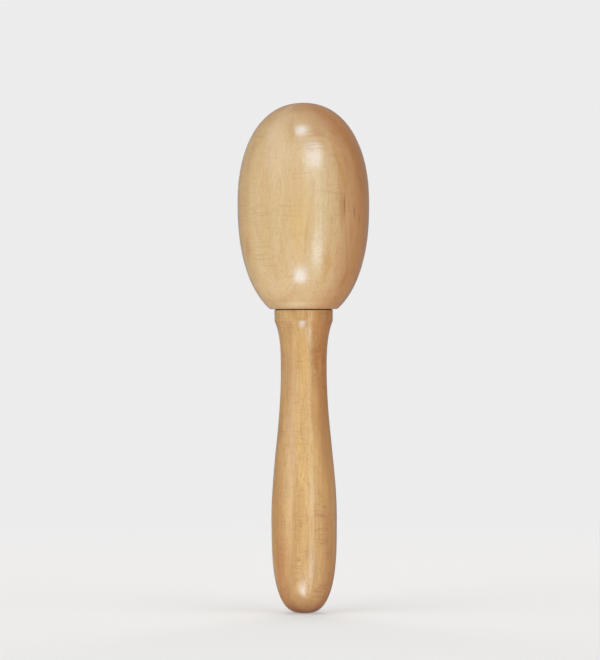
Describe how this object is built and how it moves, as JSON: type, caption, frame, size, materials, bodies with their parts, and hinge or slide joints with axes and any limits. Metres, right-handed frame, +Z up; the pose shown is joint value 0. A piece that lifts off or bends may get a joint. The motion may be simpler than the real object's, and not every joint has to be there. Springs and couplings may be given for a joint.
{
  "type": "darning egg",
  "caption": "Turned wooden darning egg: a flat-based egg glued by a hidden round tenon to a waisted, round-ended handle.",
  "frame": {"origin": "lowest point of the handle's round end, on the turning axis", "axes": "+Z up the turning axis from the handle's round end to the crown of the egg; X and Y are alike, since the part is a body of revolution"},
  "size_m": [0.0474, 0.0474, 0.1836],
  "materials": {
    "handle_wood": "clear gloss lacquer over honey-coloured maple",
    "egg_wood": "clear gloss lacquer over pale maple",
    "wood_glue": "dried wood glue, dark in the gap"
  },
  "bodies": {
    "root": {"handle": "handle_wood", "egg": "egg_wood", "glue_line": "wood_glue"}
  },
  "joints": []
}
